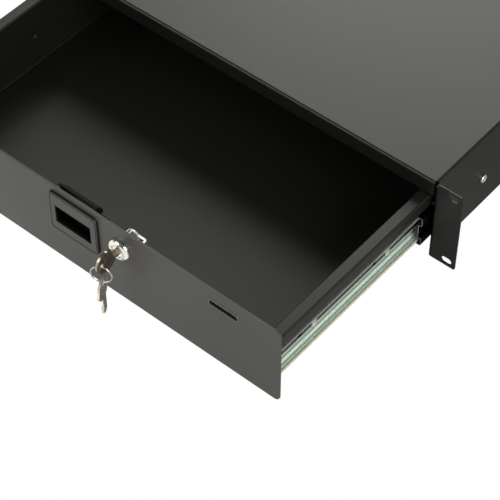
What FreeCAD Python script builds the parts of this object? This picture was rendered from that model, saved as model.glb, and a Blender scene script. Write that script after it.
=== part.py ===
import FreeCAD, Part
import math
import os
import types

import Sketcher

# Sliding rack drawer, two rack units high, standing part way open.
# Millimetres. X runs across the rack, +Y into the rack, +Z up. The origin is the centre
# of the four mounting slots, on the front faces of the ears.
# Drawer pieces are drawn as if the drawer were shut, and their placement pulls them out.

SIZES = [
    # rack ears
    ("rack_width", 482.6), ("ear_height", 88.1), ("ear_reach", 26.3), ("ear_corner", 1.5),
    ("slot_inset_across", 8.75), ("slot_inset_up", 5.95), ("slot_length", 10.4),
    ("slot_width", 7.0),
    # chassis
    ("chassis_depth", 372.0), ("chassis_wall", 1.5), ("cover_drop", 0.25),
    ("cover_bend", 1.0), ("ear_bend", 2.0), ("lip_height", 17.05), ("lip_return", 7.5),
    ("corner_gap", 0.6), ("corner_notch", 3.0), ("fold_overlap", 0.5),
    ("rear_flange", 14.0), ("rear_screw_inset", 17.8),
    # front panel
    ("panel_thickness", 2.0), ("panel_corner", 5.0), ("panel_edge", 0.5),
    ("panel_gap", 0.3), ("panel_lift", 0.6), ("panel_top_gap", 2.0), ("opening", 196.2),
    # drawer tray
    ("tray_wall", 1.2), ("tray_bend", 0.8), ("tray_rear_room", 22.0), ("tray_lift", 1.0),
    ("slide_space", 13.8), ("rim_clearance", 0.8), ("rim_reach", 10.3), ("rim_drop", 12.0),
    ("back_fold", 9.0), ("front_flange", 12.0), ("flange_inset", 20.0),
    # ball bearing slides
    ("slide_front", 8.0), ("slide_rear_gap", 0.5), ("slide_below_rim", 35.5),
    ("slide_gauge", 1.2), ("ball_radius", 2.0), ("ball_play", 0.15), ("ball_rise", 16.8),
    ("ball_reach", 7.9), ("race_rise", 1.7), ("outer_flange", 10.3), ("inner_flange", 8.1),
    ("slide_bend", 0.8), ("rib_height", 1.2), ("rib_half", 4.0), ("bumper_length", 4.7),
    ("bumper_gap", 0.3), ("bumper_half", 13.0), ("bumper_width", 8.0),
    ("bumper_corner", 2.0),
    # ball cages
    ("cage_length", 170.0), ("cage_front", 88.1), ("cage_wall", 0.7), ("cage_play", 0.3),
    ("cage_height", 32.4), ("cage_bend", 0.6), ("cage_step", 3.2), ("cage_step_half", 7.0),
    ("cage_reach", 9.3), ("cage_hole", 2.1), ("first_ball", 45.0), ("last_ball", 45.0),
    # screws
    ("screw_radius", 2.0), ("screw_head", 3.9), ("screw_head_height", 2.4),
    ("screw_edge", 0.8), ("screw_play", 0.15), ("inner_screw_radius", 1.75),
    ("inner_screw_head", 3.5), ("outer_screw_first", 65.0), ("outer_screw_last", 28.5),
    ("inner_screw_first", 48.0), ("inner_screw_last", 104.5), ("spare_hole_lead", 17.0),
    ("spare_hole_radius", 2.2),
    # slam latch
    ("latch_drop", 29.25), ("bezel_width", 53.4), ("bezel_above", 23.15),
    ("bezel_below", 20.55), ("bezel_proud", 2.5), ("bezel_corner", 5.0), ("bezel_edge", 0.9),
    ("window_width", 39.4), ("window_height", 19.7), ("housing_width", 51.6),
    ("housing_above", 12.65), ("housing_below", 16.85), ("housing_depth", 12.4),
    ("housing_wall", 1.2), ("housing_play", 0.1), ("bolt_width", 40.0), ("bolt_shift", 4.2),
    ("bolt_above", 19.15), ("plate_width", 37.4), ("bolt_setback", 7.9),
    ("plate_thickness", 2.4), ("nose_depth", 5.2), ("nose_drop", 5.8), ("nose_height", 9.8),
    ("plate_below", 8.2), ("slider_play", 0.4), ("latch_travel", 6.5), ("ledge_above", 0.15),
    ("ledge_height", 3.0), ("ledge_reach", 7.4), ("spring_radius", 1.7), ("spring_wire", 0.5),
    ("spring_turns", 4.0), ("spring_seat_above", 0.85), ("spring_seat_height", 3.0),
    # cam lock
    ("lock_across", 50.0), ("lock_drop", 24.6), ("lock_rim_radius", 10.0),
    ("lock_rim_proud", 3.5), ("lock_rim_round", 2.0), ("barrel_radius", 9.0),
    ("barrel_flat", 8.0), ("barrel_length", 13.0), ("barrel_play", 0.1),
    ("clip_half", 12.5), ("clip_above", 8.5), ("clip_below", 13.0), ("clip_gauge", 1.2),
    ("clip_corner", 2.0), ("clip_groove", 1.0), ("plug_radius", 6.0), ("plug_play", 0.06),
    ("plug_setback", 0.5), ("plug_end", 0.5), ("tail_side", 7.0), ("tail_play", 0.2),
    ("cam_thickness", 2.0), ("cam_hub", 8.0), ("cam_width", 12.0), ("cam_reach", 14.3),
    ("cam_lip", 6.5), ("cam_bend", 0.8), ("cam_screw_length", 3.4),
    # keys and their ring
    ("key_thickness", 2.0), ("key_bow", 11.0), ("key_shoulder", 3.0), ("blade_height", 8.0),
    ("blade_length", 16.0), ("blade_tip", 2.5), ("blade_play", 0.25), ("key_hole", 2.6),
    ("key_hole_offset", 6.0), ("bitting_depth", 1.6), ("bitting_width", 2.0),
    ("bitting_first", 5.0), ("bitting_pitch", 2.6), ("ring_radius", 9.1), ("ring_wire", 1.0),
    ("ring_width", 1.4), ("ring_play", 0.55), ("ring_yaw", 25.0),
]

OUTER_SCREWS = 3
INNER_SCREWS = 3
BALLS_PER_ROW = 4
BITTING_CUTS = 4
RIGHT = 1
LEFT = -1
SIDES = ((LEFT, "left"), (RIGHT, "right"))
# On which side of its line a folded sheet lies.
ON_LEFT = 1
ON_RIGHT = -1


class Size:
    """A length together with the spreadsheet expression that gives it."""

    def __init__(self, value, text):
        self.value = value
        self.text = text

    def __add__(self, other):
        return Size(self.value + number(other), f"({self.text} + {words(other)})")

    def __radd__(self, other):
        return self + other

    def __sub__(self, other):
        return Size(self.value - number(other), f"({self.text} - {words(other)})")

    def __rsub__(self, other):
        return Size(number(other) - self.value, f"({words(other)} - {self.text})")

    def __mul__(self, other):
        return Size(self.value * number(other), f"({self.text} * {words(other)})")

    def __rmul__(self, other):
        return self * other

    def __truediv__(self, other):
        return Size(self.value / number(other), f"({self.text} / {words(other)})")

    def __neg__(self):
        return Size(-self.value, f"(-1 * {self.text})")


def number(size):
    """The plain number of a Size or of a number."""
    return size.value if isinstance(size, Size) else size


def words(size):
    """The expression text of a Size or of a number."""
    return size.text if isinstance(size, Size) else str(size)


def root(size):
    """Square root of a Size."""
    return Size(math.sqrt(size.value), f"sqrt({size.text})")


def half_chord(radius, distance):
    """Half the chord that a line this far from the centre cuts from a circle."""
    return root(radius * radius - distance * distance)


doc = FreeCAD.newDocument("sliding_rack_drawer")


def make_sheet():
    """The spreadsheet of driving sizes, and the same sizes by name."""
    sheet = doc.addObject("Spreadsheet::Sheet", "Sizes")
    named = {}
    for row, (alias, value) in enumerate(SIZES, start=1):
        sheet.set(f"A{row}", alias)
        sheet.set(f"B{row}", str(value))
        sheet.setAlias(f"B{row}", alias)
        named[alias] = Size(value, f"Sizes.{alias}")
    doc.recompute()
    return types.SimpleNamespace(**named)


S = make_sheet()
pieces = {}

# Levels, faces and spacings that several pieces share.
ears_bottom = -S.ear_height / 2
cover_top = S.ear_height / 2 - S.cover_drop
wall_outside = S.rack_width / 2 - S.ear_reach
wall_inside = wall_outside - S.chassis_wall
ear_bend_outside = S.ear_bend + S.chassis_wall
slot_across = S.rack_width / 2 - S.slot_inset_across
slot_level = S.ear_height / 2 - S.slot_inset_up
lip_bottom = cover_top - S.lip_height
rear_screw_level = cover_top - S.rear_screw_inset
panel_back = -S.panel_gap
panel_bottom = ears_bottom + S.panel_lift
panel_top = S.ear_height / 2 - S.panel_top_gap
tray_depth = S.chassis_depth - S.tray_rear_room
tray_outside = wall_inside - S.slide_space
tray_inside = tray_outside - S.tray_wall
tray_floor = ears_bottom + S.tray_lift + S.tray_wall
rim_top = lip_bottom - S.rim_clearance
rim_outside = tray_outside + S.rim_reach
slide_centre = rim_top - S.slide_below_rim
slide_length = S.chassis_depth - S.rear_flange - S.slide_rear_gap - S.slide_front
drawer_shift = -S.opening
cage_shift = drawer_shift / 2
race_radius = S.ball_radius + S.ball_play
ball_across = wall_inside - S.ball_reach
outer_race_face = S.ball_rise + S.race_rise
inner_race_face = S.ball_rise - S.race_rise
inner_member_length = slide_length - S.bumper_length - S.bumper_gap
outer_screw_pitch = (slide_length - S.outer_screw_first - S.outer_screw_last) / (OUTER_SCREWS - 1)
inner_screw_run = inner_member_length - S.inner_screw_first - S.inner_screw_last
inner_screw_pitch = inner_screw_run / (INNER_SCREWS - 1)
ball_pitch = (S.cage_length - S.first_ball - S.last_ball) / (BALLS_PER_ROW - 1)
latch_centre = panel_top - S.latch_drop
lock_centre = panel_top - S.lock_drop
chassis_screw = (S.screw_radius, S.screw_head)
drawer_screw = (S.inner_screw_radius, S.inner_screw_head)


def bind(thing, prop, size):
    """Ties a property to a Size, or sets a plain number."""
    if isinstance(size, Size):
        thing.setExpression(prop, size.text)
    else:
        thing.setExpression(prop, str(size))


def new_body(label, x=0, y=0, z=0):
    """An empty body that stands at a place given by Sizes."""
    body = doc.addObject("PartDesign::Body", label)
    body.Label = label
    body.AllowCompound = True
    place(body, x, y, z)
    pieces[label] = body
    return body


def place(thing, x, y, z):
    """Places an object, with its place tied to the sizes."""
    thing.Placement.Base = FreeCAD.Vector(number(x), number(y), number(z))
    for axis, size in zip("xyz", (x, y, z)):
        if isinstance(size, Size):
            bind(thing, f".Placement.Base.{axis}", size)


def origin_part(body, role):
    """One of the body's own origin planes or axes."""
    return next(item for item in body.Origin.OriginFeatures if item.Role == role)


def new_sketch(body, role, level=0):
    """A sketch on one of the body's origin planes, moved along that plane's own normal."""
    sketch = body.newObject("Sketcher::SketchObject", f"{body.Name}_sketch")
    sketch.AttachmentSupport = [(origin_part(body, role), "")]
    sketch.MapMode = "FlatFace"
    bind(sketch, ".AttachmentOffset.Base.z", level)
    return sketch


def fix(sketch, edge, end, x, y):
    """Fixes a point of the sketch at x, y; nought lies on the sketch's own axis."""
    for kind, axis, size in (("DistanceX", -2, x), ("DistanceY", -1, y)):
        if isinstance(size, Size):
            made = sketch.addConstraint(Sketcher.Constraint(kind, -1, 1, edge, end, size.value))
            sketch.setExpression(f"Constraints[{made}]", size.text)
        else:
            sketch.addConstraint(Sketcher.Constraint("PointOnObject", edge, end, axis))


def vector(x, y):
    """A sketch point from two Sizes or numbers."""
    return FreeCAD.Vector(number(x), number(y), 0)


def arc_between(start, end, centre, leftward):
    """An arc from start to end about centre, and which of its ends comes first."""
    first, last = (start, end) if leftward else (end, start)
    radius = (start - centre).Length
    angles = [math.atan2(p.y - centre.y, p.x - centre.x) for p in (first, last)]
    if angles[1] < angles[0]:
        angles[1] += 2 * math.pi
    circle = Part.Circle(centre, FreeCAD.Vector(0, 0, 1), radius)
    return Part.ArcOfCircle(circle, angles[0], angles[1]), (1, 2) if leftward else (2, 1)


def draw(sketch, path):
    """Draws a closed outline. Each point is (x, y) where a straight edge leaves it,
    (x, y, "bend") where an arc leaves it tangent to the edge before, or
    (x, y, radius, side) where an arc of that radius leaves it, its centre on the left
    (side 1) or on the right (side -1) of the straight line to the next point."""
    first = sketch.GeometryCount
    ends = []
    for index, point in enumerate(path):
        start = vector(point[0], point[1])
        after = path[(index + 1) % len(path)]
        end = vector(after[0], after[1])
        if len(point) == 2:
            sketch.addGeometry(Part.LineSegment(start, end), False)
            ends.append((1, 2))
            continue
        if point[2] == "bend":
            before = path[index - 1]
            heading = (start - vector(before[0], before[1])).normalize()
            across = FreeCAD.Vector(-heading.y, heading.x, 0)
            chord = end - start
            centre = start + across * (chord.Length ** 2 / (2 * across.dot(chord)))
            leftward = across.dot(chord) > 0
        else:
            chord = end - start
            across = FreeCAD.Vector(-chord.y, chord.x, 0).normalize() * point[3]
            rise = math.sqrt(point[2].value ** 2 - (chord.Length / 2) ** 2)
            centre = (start + end) * 0.5 + across * rise
            leftward = point[3] > 0
        arc, arc_ends = arc_between(start, end, centre, leftward)
        sketch.addGeometry(arc, False)
        ends.append(arc_ends)
    for index, point in enumerate(path):
        edge = first + index
        before = first + (index - 1) % len(path)
        kind = "Tangent" if len(point) == 3 else "Coincident"
        joint = (before, ends[index - 1][1], edge, ends[index][0])
        sketch.addConstraint(Sketcher.Constraint(kind, *joint))
        fix(sketch, edge, ends[index][0], point[0], point[1])
        if len(point) == 4:
            made = sketch.addConstraint(Sketcher.Constraint("Radius", edge, point[2].value))
            sketch.setExpression(f"Constraints[{made}]", point[2].text)


def draw_circle(sketch, x, y, radius):
    """Draws a circle at x, y."""
    centre = vector(x, y)
    circle = Part.Circle(centre, FreeCAD.Vector(0, 0, 1), radius.value)
    edge = sketch.addGeometry(circle, False)
    fix(sketch, edge, 3, x, y)
    made = sketch.addConstraint(Sketcher.Constraint("Radius", edge, radius.value))
    sketch.setExpression(f"Constraints[{made}]", radius.text)


def heading(start, end):
    """Direction of an edge along X or Y, as two signs."""
    dx = number(end[0]) - number(start[0])
    dy = number(end[1]) - number(start[1])
    if abs(dx) > abs(dy):
        return (1 if dx > 0 else -1, 0)
    return (0, 1 if dy > 0 else -1)


def moved(place_along, distance, sign):
    """A coordinate moved by a distance to one side (sign 1 or -1) or not at all (0)."""
    return place_along + distance * sign if sign else place_along


def rounded(corners, radii):
    """A closed outline of edges along X and Y, with a radius at each corner."""
    path = []
    for index, (x, y) in enumerate(corners):
        radius = radii[index]
        if radius is None:
            path.append((x, y))
            continue
        came = heading(corners[index - 1], (x, y))
        goes = heading((x, y), corners[(index + 1) % len(corners)])
        path.append((moved(x, radius, -came[0]), moved(y, radius, -came[1]), "bend"))
        path.append((moved(x, radius, goes[0]), moved(y, radius, goes[1])))
    return path


def box(left, bottom, right, top, radius=None):
    """A rectangle, with its corners rounded where a radius is given."""
    corners = [(left, bottom), (right, bottom), (right, top), (left, top)]
    return rounded(corners, [radius] * 4)


def folded(line, wall, inside, side):
    """The outline of a folded sheet. line is one face of the sheet, along X and Y, and
    the sheet lies ON_LEFT or ON_RIGHT of it. Inside each bend the radius is inside, and
    outside it is inside + wall."""
    count = len(line)
    runs = [heading(line[i], line[i + 1]) for i in range(count - 1)]
    normals = [(-run[1] * side, run[0] * side) for run in runs]
    far = []
    near_radii = [None] * count
    far_radii = [None] * count
    for index, (x, y) in enumerate(line):
        before = normals[max(index - 1, 0)]
        after = normals[min(index, count - 2)]
        shift_x = before[0] if before[0] else after[0]
        shift_y = before[1] if before[1] else after[1]
        far.append((moved(x, wall, shift_x), moved(y, wall, shift_y)))
        if 0 < index < count - 1:
            came = runs[index - 1]
            goes = runs[index]
            left_turn = came[0] * goes[1] - came[1] * goes[0]
            sheet_inside = left_turn == side
            near_radii[index] = inside + wall if sheet_inside else inside
            far_radii[index] = inside if sheet_inside else inside + wall
    return rounded(list(line) + far[::-1], near_radii + far_radii[::-1])


def flip(points, side):
    """The same points on the left (side -1) or the right (side 1) of the object."""
    return [(point[0] * side,) + tuple(point[1:]) for point in points]


def flip_arcs(path, side):
    """A path mirrored to the left or right, with its arcs bulging the mirrored way."""
    out = []
    for point in path:
        if len(point) == 4:
            point = (point[0], point[1], point[2], point[3] * side)
        out.append((point[0] * side,) + tuple(point[1:]))
    return out


def pad(body, sketch, length, centred=False, backwards=False):
    """Pads a sketch along its plane's normal, against it, or to both sides alike."""
    feature = body.newObject("PartDesign::Pad", f"{body.Name}_pad")
    feature.Profile = sketch
    feature.Midplane = centred
    feature.Reversed = backwards
    bind(feature, "Length", length)
    return finish_feature(body, feature)


def pocket(body, sketch, length=None, centred=False, backwards=False):
    """Cuts a sketch to a depth, or right through where no depth is given."""
    doc.recompute()
    before = body.Shape.Volume
    feature = body.newObject("PartDesign::Pocket", f"{body.Name}_pocket")
    feature.Profile = sketch
    feature.Midplane = centred
    feature.Reversed = backwards
    if length is None:
        feature.Type = "ThroughAll"
    else:
        bind(feature, "Length", length)
    finish_feature(body, feature)
    if not body.Shape.Volume < before:
        raise ValueError(f"{feature.Name} cuts nothing")
    return feature


def revolve(body, sketch, axis):
    """Turns a sketch once round one of its own axes."""
    feature = body.newObject("PartDesign::Revolution", f"{body.Name}_turned")
    feature.Profile = sketch
    feature.ReferenceAxis = (sketch, [axis])
    feature.Angle = 360
    return finish_feature(body, feature)


def repeat(body, features, axis, pitch, count):
    """Repeats features along one of the body's axes."""
    feature = body.newObject("PartDesign::LinearPattern", f"{body.Name}_row")
    feature.Originals = features
    feature.Direction = (origin_part(body, axis), [""])
    feature.Occurrences = count
    bind(feature, "Length", pitch * (count - 1))
    return finish_feature(body, feature)


def round_edges(body, radius, wanted, kind="PartDesign::Fillet"):
    """Rounds or chamfers the edges that wanted picks by their two end points."""
    doc.recompute()
    base = body.Tip
    names = []
    for index, edge in enumerate(base.Shape.Edges, start=1):
        ends = [vertex.Point for vertex in edge.Vertexes]
        if len(ends) == 2 and wanted(ends[0], ends[1]):
            names.append(f"Edge{index}")
    if not names:
        raise ValueError(f"{body.Name}: no edge to round")
    feature = body.newObject(kind, f"{body.Name}_edges")
    feature.Base = (base, names)
    bind(feature, "Size" if kind.endswith("Chamfer") else "Radius", radius)
    return finish_feature(body, feature)


def finish_feature(body, feature):
    """Makes a feature the body's last one and works it out."""
    body.Tip = feature
    doc.recompute()
    return feature


def near(first, second):
    """Whether two lengths are the same within a hundredth of a millimetre."""
    return abs(number(first) - number(second)) < 0.01


def make_chassis_shell():
    """Cover, side walls, rack ears and front lip, folded from one sheet."""
    body = new_body("chassis_shell")
    section = [(-wall_outside, -cover_top), (-wall_outside, cover_top),
               (wall_outside, cover_top), (wall_outside, -cover_top)]
    sketch = new_sketch(body, "XZ_Plane", -ear_bend_outside)
    draw(sketch, folded(section, S.chassis_wall, S.cover_bend, ON_RIGHT))
    pad(body, sketch, S.chassis_depth - ear_bend_outside, backwards=True)

    lip = [(ear_bend_outside, cover_top), (0, cover_top), (0, lip_bottom),
           (S.lip_return, lip_bottom)]
    sketch = new_sketch(body, "YZ_Plane")
    draw(sketch, folded(lip, S.chassis_wall, S.cover_bend, ON_LEFT))
    pad(body, sketch, (wall_inside - S.corner_gap) * 2, centred=True)

    ear_root = ear_bend_outside + S.fold_overlap
    for side, _name in SIDES:
        ear = [(wall_inside, ear_root), (wall_inside, 0), (S.rack_width / 2, 0)]
        sketch = new_sketch(body, "XY_Plane", ears_bottom)
        draw(sketch, folded(flip(ear, side), S.chassis_wall, S.ear_bend, ON_LEFT * side))
        pad(body, sketch, S.ear_height)

    sketch = new_sketch(body, "XZ_Plane")
    notch_bottom = cover_top - S.corner_notch
    for side, _name in SIDES:
        corners = [(wall_inside, notch_bottom), (wall_inside + ear_bend_outside, notch_bottom),
                   (wall_inside + ear_bend_outside, S.ear_height),
                   (wall_inside, S.ear_height)]
        draw(sketch, flip(corners, side))
    pocket(body, sketch, ear_root * 2, centred=True)

    sketch = new_sketch(body, "XZ_Plane")
    for across in (-slot_across, slot_across):
        for level in (-slot_level, slot_level):
            draw_slot(sketch, across, level, S.slot_length, S.slot_width)
    pocket(body, sketch, S.chassis_wall * 4, centred=True)

    sketch = new_sketch(body, "YZ_Plane")
    hole = S.screw_radius + S.screw_play
    for index in range(OUTER_SCREWS):
        along = S.slide_front + S.outer_screw_first + outer_screw_pitch * index
        draw_circle(sketch, along, slide_centre, hole)
    for level in (-rear_screw_level, rear_screw_level):
        draw_circle(sketch, S.chassis_depth - S.rear_flange / 2, level, hole)
    pocket(body, sketch, centred=True)

    tip = S.rack_width / 2

    def at_ear_corner(one, other):
        return near(abs(one.x), tip) and near(abs(other.x), tip) and near(one.z, other.z)

    round_edges(body, S.ear_corner, at_ear_corner)


def draw_slot(sketch, x, y, length, width):
    """A round-ended slot that lies along the sketch's X."""
    reach = (length - width) / 2
    rise = width / 2
    path = [(x - reach, y - rise), (x + reach, y - rise, "bend"),
            (x + reach, y + rise), (x - reach, y + rise, "bend")]
    draw(sketch, path)


def make_rear_panel():
    """Back of the chassis, with a flange along each side wall."""
    body = new_body("rear_panel")
    start = S.chassis_depth - S.rear_flange
    line = [(-wall_inside, start), (-wall_inside, S.chassis_depth),
            (wall_inside, S.chassis_depth), (wall_inside, start)]
    sketch = new_sketch(body, "XY_Plane", -cover_top)
    draw(sketch, folded(line, S.chassis_wall, S.cover_bend, ON_RIGHT))
    pad(body, sketch, cover_top * 2 - S.chassis_wall - S.cover_bend)
    sketch = new_sketch(body, "YZ_Plane")
    for level in (-rear_screw_level, rear_screw_level):
        draw_circle(sketch, S.chassis_depth - S.rear_flange / 2, level,
                    S.screw_radius + S.screw_play)
    pocket(body, sketch, centred=True)


def screw_section(side, shank, screw):
    """Half section of a pan-head screw, given by its shank's and its head's radius. The
    head sits on x = 0 and faces outwards."""
    radius, head = screw
    path = [(-shank, 0), (-shank, radius), (0, radius), (0, head),
            (S.screw_head_height - S.screw_edge, head),
            (S.screw_head_height, head - S.screw_edge * 2), (S.screw_head_height, 0)]
    return [(point[0] * side, point[1]) for point in path]


def make_screw_row(label, side, seat, first, shank, screw, pitch, count, shift=0):
    """Pan-head screws along a slide's centre line, with their heads on the face x = seat."""
    body = new_body(label, seat * side, S.slide_front + first + shift, slide_centre)
    sketch = new_sketch(body, "XY_Plane")
    draw(sketch, screw_section(side, shank, screw))
    screw = revolve(body, sketch, "H_Axis")
    if count > 1:
        repeat(body, [screw], "Y_Axis", pitch, count)
    return body


def make_rear_screws():
    """Two screws through each side wall into the flanges of the rear panel."""
    along = S.chassis_depth - S.rear_flange / 2
    for side, name in SIDES:
        body = new_body(f"rear_screws_{name}", wall_outside * side, along, -rear_screw_level)
        sketch = new_sketch(body, "XY_Plane")
        draw(sketch, screw_section(side, S.chassis_wall * 2, chassis_screw))
        screw = revolve(body, sketch, "H_Axis")
        repeat(body, [screw], "Z_Axis", rear_screw_level * 2, 2)


def race(rise, thickness_side, across, along_x):
    """Two path points of a raceway arc about the ball's centre. rise is the face's height
    from the slide's centre line, thickness_side is 0 on the ball's side of the sheet and
    1 on its far side, and along_x is the direction in which the outline runs."""
    radius = race_radius + S.slide_gauge * thickness_side
    distance = S.race_rise + S.slide_gauge * thickness_side
    chord = half_chord(radius, distance)
    return radius, (across - chord * along_x, rise), (across + chord * along_x, rise)


def make_slide_outer(side, name):
    """Chassis member of a slide: a C-shaped channel with a rolled raceway in each flange."""
    body = new_body(f"slide_outer_{name}", 0, S.slide_front, slide_centre)
    gauge = S.slide_gauge
    tip = wall_inside - S.outer_flange
    face = wall_inside - gauge
    bend = S.slide_bend
    near_face = outer_race_face
    far_face = outer_race_face + gauge
    path = []
    for sign in (1, -1):
        radius, low, high = race(near_face * sign, 0, ball_across, 1)
        inside_top = [(tip, near_face * sign), low + (radius, -sign), high,
                      (face - bend, near_face * sign, "bend"),
                      (face, (near_face - bend) * sign)]
        path += inside_top if sign == 1 else reverse_path(inside_top)
    for sign in (-1, 1):
        radius, low, high = race(far_face * sign, 1, ball_across, 1)
        corner = bend + gauge
        outside = [(tip, far_face * sign), low + (radius, -sign), high,
                   (wall_inside - corner, far_face * sign, "bend"),
                   (wall_inside, (far_face - corner) * sign)]
        path += outside if sign == -1 else reverse_path(outside)
    sketch = new_sketch(body, "XZ_Plane")
    draw(sketch, flip_arcs(path, side))
    pad(body, sketch, slide_length, backwards=True)
    sketch = new_sketch(body, "YZ_Plane")
    for index in range(OUTER_SCREWS):
        along = S.outer_screw_first + outer_screw_pitch * index
        draw_circle(sketch, along, 0, S.screw_radius + S.screw_play)
    pocket(body, sketch, centred=True)


def reverse_path(points):
    """The same stretch of outline run the other way. An arc then leaves its other end,
    and its centre changes sides."""
    turned = points[::-1]
    out = []
    for index, point in enumerate(turned):
        after = turned[index + 1] if index + 1 < len(turned) else ()
        if len(after) == 4:
            out.append((point[0], point[1], after[2], -after[3]))
        elif len(after) == 3:
            out.append((point[0], point[1], "bend"))
        else:
            out.append((point[0], point[1]))
    return out


def make_slide_inner(side, name):
    """Drawer member of a slide: a channel on the tray's wall that opens outwards, with a
    raceway on the outside of each flange and a pressed rib along its web."""
    body = new_body(f"slide_inner_{name}", 0, S.slide_front + drawer_shift, slide_centre)
    gauge = S.slide_gauge
    tip = tray_outside + S.inner_flange
    face = tray_outside + gauge
    bend = S.slide_bend
    corner = bend + gauge
    ball_face = inner_race_face
    far_face = inner_race_face - gauge
    rib_foot = S.rib_half + S.rib_height
    half_gauge = gauge / 2
    back = []
    front = []
    for sign in (1, -1):
        radius, low, high = race(ball_face * sign, 0, ball_across, 1)
        outside = [(tray_outside, (ball_face - corner) * sign, "bend"),
                   (tray_outside + corner, ball_face * sign), low + (radius, sign), high,
                   (tip, ball_face * sign)]
        back.append(outside)
        radius, low, high = race(far_face * sign, 1, ball_across, 1)
        inside = [(face, (far_face - bend) * sign, "bend"),
                  (face + bend, far_face * sign), low + (radius, sign), high,
                  (tip, far_face * sign)]
        front.append(inside)
    rib_back = [(tray_outside, -rib_foot - half_gauge),
                (tray_outside + S.rib_height, -S.rib_half - half_gauge),
                (tray_outside + S.rib_height, S.rib_half + half_gauge),
                (tray_outside, rib_foot + half_gauge)]
    rib_front = [(face, rib_foot), (face + S.rib_height, S.rib_half),
                 (face + S.rib_height, -S.rib_half), (face, -rib_foot)]
    path = rib_back + back[0] + reverse_path(front[0]) + rib_front
    path += front[1] + reverse_path(back[1])
    sketch = new_sketch(body, "XZ_Plane")
    draw(sketch, flip_arcs(path, side))
    pad(body, sketch, inner_member_length, backwards=True)
    sketch = new_sketch(body, "YZ_Plane")
    for index in range(INNER_SCREWS):
        along = S.inner_screw_first + inner_screw_pitch * index
        draw_circle(sketch, along, 0, S.inner_screw_radius + S.screw_play)
        draw_circle(sketch, along - S.spare_hole_lead, 0, S.spare_hole_radius)
    pocket(body, sketch, centred=True)


def make_slide_bumper(side, name):
    """Plastic buffer in the rear end of the chassis member."""
    along = S.slide_front + slide_length - S.bumper_length
    body = new_body(f"slide_bumper_{name}", 0, along, slide_centre)
    face = wall_inside - S.slide_gauge
    corners = [(face - S.bumper_width, -S.bumper_half), (face, -S.bumper_half),
               (face, S.bumper_half), (face - S.bumper_width, S.bumper_half)]
    round_corner = S.bumper_corner
    sketch = new_sketch(body, "XZ_Plane")
    draw(sketch, rounded(flip(corners, side), [round_corner, None, None, round_corner]))
    pad(body, sketch, S.bumper_length, backwards=True)


def make_cage(side, name):
    """Ball cage of a slide: a thin channel with a stepped web and a hole for each ball."""
    body = new_body(f"ball_cage_{name}", 0, S.cage_front + cage_shift, slide_centre)
    outside = wall_inside - S.slide_gauge - S.cage_play
    top = S.cage_height / 2
    tip = outside - S.cage_reach
    stepped = outside - S.cage_step
    half = S.cage_step_half
    line = [(tip, top), (outside, top), (outside, half), (stepped, half), (stepped, -half),
            (outside, -half), (outside, -top), (tip, -top)]
    sketch = new_sketch(body, "XZ_Plane")
    draw(sketch, folded(flip(line, side), S.cage_wall, S.cage_bend, ON_RIGHT * side))
    pad(body, sketch, S.cage_length, backwards=True)
    sketch = new_sketch(body, "XY_Plane")
    draw_circle(sketch, ball_across * side, S.first_ball, S.cage_hole)
    hole = pocket(body, sketch, centred=True)
    repeat(body, [hole], "Y_Axis", ball_pitch, BALLS_PER_ROW)


def make_balls(side, name):
    """Two rows of steel balls, one in each raceway."""
    body = new_body(f"slide_balls_{name}", ball_across * side,
                    S.cage_front + cage_shift + S.first_ball, slide_centre)
    rows = []
    for sign in (-1, 1):
        ball = body.newObject("PartDesign::AdditiveSphere", f"{body.Name}_ball")
        ball.AttachmentSupport = [(origin_part(body, "XY_Plane"), "")]
        ball.MapMode = "FlatFace"
        bind(ball, ".AttachmentOffset.Base.z", S.ball_rise * sign)
        bind(ball, "Radius", S.ball_radius)
        rows.append(finish_feature(body, ball))
    repeat(body, rows, "Y_Axis", ball_pitch, BALLS_PER_ROW)


def make_tray():
    """Drawer tray: floor, walls with outward rims, back and a low front flange."""
    body = new_body("drawer_tray", 0, panel_back + drawer_shift, 0)
    rim_foot = rim_top - S.rim_drop
    line = [(-rim_outside, rim_foot), (-rim_outside, rim_top), (-tray_inside, rim_top),
            (-tray_inside, tray_floor), (tray_inside, tray_floor), (tray_inside, rim_top),
            (rim_outside, rim_top), (rim_outside, rim_foot)]
    sketch = new_sketch(body, "XZ_Plane")
    draw(sketch, folded(line, S.tray_wall, S.tray_bend, ON_RIGHT))
    pad(body, sketch, tray_depth, backwards=True)

    back = tray_depth - S.tray_wall
    line = [(back, tray_floor), (back, rim_top), (back + S.back_fold, rim_top)]
    sketch = new_sketch(body, "YZ_Plane")
    draw(sketch, folded(line, S.tray_wall, S.tray_bend, ON_RIGHT))
    pad(body, sketch, tray_inside * 2, centred=True)

    half = tray_inside - S.flange_inset
    sketch = new_sketch(body, "XZ_Plane")
    draw(sketch, box(-half, tray_floor, half, tray_floor + S.front_flange))
    pad(body, sketch, S.tray_wall, backwards=True)

    sketch = new_sketch(body, "YZ_Plane")
    for index in range(INNER_SCREWS):
        along = S.slide_front - panel_back + S.inner_screw_first + inner_screw_pitch * index
        draw_circle(sketch, along, slide_centre, S.inner_screw_radius + S.screw_play)
    pocket(body, sketch, centred=True)


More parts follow.
